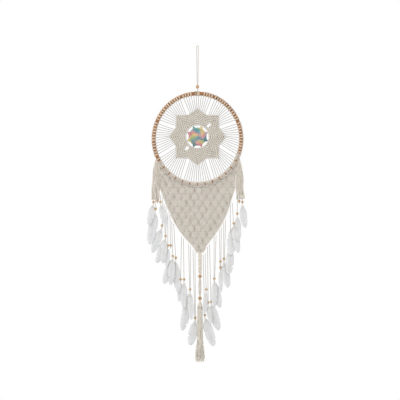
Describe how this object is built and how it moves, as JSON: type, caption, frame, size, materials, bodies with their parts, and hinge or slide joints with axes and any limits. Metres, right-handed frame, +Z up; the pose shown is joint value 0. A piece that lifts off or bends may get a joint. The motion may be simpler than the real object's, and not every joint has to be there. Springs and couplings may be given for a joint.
{
  "type": "dream catcher",
  "caption": "Hanging dream catcher: rattan hoop with a knotted star web, a knotted V panel, and strands of cord with wooden beads and feathers, round a centre tassel.",
  "frame": {"origin": "inside top of the hanging loop, where a nail or hook carries it", "axes": "+Z up, +X to the right seen from the front, front face towards -Y"},
  "size_m": [0.3177, 0.036, 1.036],
  "materials": {
    "cotton_cord": "matt twisted cotton cord",
    "hitch_cord": "matt waxed cord",
    "fringe_cord": "matt cotton cord, knotted or brushed",
    "web_string": "thin waxed string",
    "star_cord": "half-hitched cotton cord",
    "variegated_yarn": "variegated yarn",
    "rattan": "peeled rattan, satin",
    "light_wood": "turned wood, satin",
    "tan_wood": "turned wood, satin",
    "red_wood": "turned wood, satin",
    "feather": "soft white feather"
  },
  "bodies": {
    "loop": {"hanging_loop": "cotton_cord"},
    "top_bead": {"top_bead": "light_wood"},
    "neck": {"neck_cord": "cotton_cord"},
    "hoop": {"hoop_ring": "rattan", "string_hitches": "hitch_cord", "fringe_hitches": "fringe_cord", "web_strings": "web_string", "star_petals": "star_cord", "medallion": "variegated_yarn", "fringe_yoke": "fringe_cord"},
    "panel": {"knotted_panel": "fringe_cord"},
    "centre": {"centre_braid": "fringe_cord", "centre_beads": "red_wood", "centre_tassel": "fringe_cord"},
    "left_bunch": {"left_bunch": "fringe_cord", "left_bunch_beads": "tan_wood", "left_bunch_feathers": "feather"},
    "right_bunch": {"right_bunch": "fringe_cord", "right_bunch_beads": "tan_wood", "right_bunch_feathers": "feather"},
    "left_strand_1": {"left_cords_1": "cotton_cord", "left_beads_1": "tan_wood", "left_feathers_1": "feather"},
    "left_strand_2": {"left_cords_2": "cotton_cord", "left_beads_2": "tan_wood", "left_feathers_2": "feather"},
    "left_strand_3": {"left_cords_3": "cotton_cord", "left_beads_3": "tan_wood", "left_feathers_3": "feather"},
    "left_strand_4": {"left_cords_4": "cotton_cord", "left_beads_4": "tan_wood", "left_feathers_4": "feather"},
    "left_strand_5": {"left_cords_5": "cotton_cord", "left_beads_5": "tan_wood", "left_feathers_5": "feather"},
    "left_strand_6": {"left_cords_6": "cotton_cord", "left_beads_6": "tan_wood", "left_feathers_6": "feather"},
    "left_strand_7": {"left_cords_7": "cotton_cord", "left_beads_7": "tan_wood", "left_feathers_7": "feather"},
    "right_strand_1": {"right_cords_1": "cotton_cord", "right_beads_1": "tan_wood", "right_feathers_1": "feather"},
    "right_strand_2": {"right_cords_2": "cotton_cord", "right_beads_2": "tan_wood", "right_feathers_2": "feather"},
    "right_strand_3": {"right_cords_3": "cotton_cord", "right_beads_3": "tan_wood", "right_feathers_3": "feather"},
    "right_strand_4": {"right_cords_4": "cotton_cord", "right_beads_4": "tan_wood", "right_feathers_4": "feather"},
    "right_strand_5": {"right_cords_5": "cotton_cord", "right_beads_5": "tan_wood", "right_feathers_5": "feather"},
    "right_strand_6": {"right_cords_6": "cotton_cord", "right_beads_6": "tan_wood", "right_feathers_6": "feather"}
  },
  "joints": [
    {"name": "bead_slide", "type": "slide", "parent": "loop", "child": "top_bead", "axis": [0, 0, 1], "range_m": [0, 0.02]},
    {"name": "neck_turn", "type": "hinge", "parent": "loop", "child": "neck", "pos_m": [0, 0, -0.1431], "axis": [0, 0, 1], "range_deg": [-180, 180]},
    {"name": "hoop_swing", "type": "hinge", "parent": "neck", "child": "hoop", "pos_m": [0, 0, -0.147], "axis": [1, 0, 0], "range_deg": [-60, 60]},
    {"name": "panel_swing", "type": "hinge", "parent": "hoop", "child": "panel", "pos_m": [0, 0, -0.466], "axis": [1, 0, 0], "range_deg": [-60, 60]},
    {"name": "centre_swing", "type": "hinge", "parent": "panel", "child": "centre", "pos_m": [0.008, 0, -0.679], "axis": [1, 0, 0], "range_deg": [-60, 60]},
    {"name": "left_bunch_swing", "type": "hinge", "parent": "hoop", "child": "left_bunch", "pos_m": [-0.139, 0, -0.399], "axis": [1, 0, 0], "range_deg": [-60, 60]},
    {"name": "right_bunch_swing", "type": "hinge", "parent": "hoop", "child": "right_bunch", "pos_m": [0.139, 0, -0.399], "axis": [1, 0, 0], "range_deg": [-60, 60]},
    {"name": "left_strand_1_swing", "type": "hinge", "parent": "panel", "child": "left_strand_1", "pos_m": [-0.117, 0, -0.491], "axis": [1, 0, 0], "range_deg": [-60, 60]},
    {"name": "left_strand_2_swing", "type": "hinge", "parent": "panel", "child": "left_strand_2", "pos_m": [-0.106, 0, -0.5195], "axis": [1, 0, 0], "range_deg": [-60, 60]},
    {"name": "left_strand_3_swing", "type": "hinge", "parent": "panel", "child": "left_strand_3", "pos_m": [-0.0935, 0, -0.5485], "axis": [1, 0, 0], "range_deg": [-60, 60]},
    {"name": "left_strand_4_swing", "type": "hinge", "parent": "panel", "child": "left_strand_4", "pos_m": [-0.081, 0, -0.577], "axis": [1, 0, 0], "range_deg": [-60, 60]},
    {"name": "left_strand_5_swing", "type": "hinge", "parent": "panel", "child": "left_strand_5", "pos_m": [-0.049, 0, -0.626], "axis": [1, 0, 0], "range_deg": [-60, 60]},
    {"name": "left_strand_6_swing", "type": "hinge", "parent": "panel", "child": "left_strand_6", "pos_m": [-0.026, 0, -0.6515], "axis": [1, 0, 0], "range_deg": [-60, 60]},
    {"name": "left_strand_7_swing", "type": "hinge", "parent": "panel", "child": "left_strand_7", "pos_m": [-0.0115, 0, -0.6705], "axis": [1, 0, 0], "range_deg": [-60, 60]},
    {"name": "right_strand_1_swing", "type": "hinge", "parent": "panel", "child": "right_strand_1", "pos_m": [0.1105, 0, -0.516], "axis": [1, 0, 0], "range_deg": [-60, 60]},
    {"name": "right_strand_2_swing", "type": "hinge", "parent": "panel", "child": "right_strand_2", "pos_m": [0.089, 0, -0.5735], "axis": [1, 0, 0], "range_deg": [-60, 60]},
    {"name": "right_strand_3_swing", "type": "hinge", "parent": "panel", "child": "right_strand_3", "pos_m": [0.075, 0, -0.5965], "axis": [1, 0, 0], "range_deg": [-60, 60]},
    {"name": "right_strand_4_swing", "type": "hinge", "parent": "panel", "child": "right_strand_4", "pos_m": [0.06, 0, -0.621], "axis": [1, 0, 0], "range_deg": [-60, 60]},
    {"name": "right_strand_5_swing", "type": "hinge", "parent": "panel", "child": "right_strand_5", "pos_m": [0.036, 0, -0.6525], "axis": [1, 0, 0], "range_deg": [-60, 60]},
    {"name": "right_strand_6_swing", "type": "hinge", "parent": "panel", "child": "right_strand_6", "pos_m": [0.0215, 0, -0.6795], "axis": [1, 0, 0], "range_deg": [-60, 60]}
  ]
}
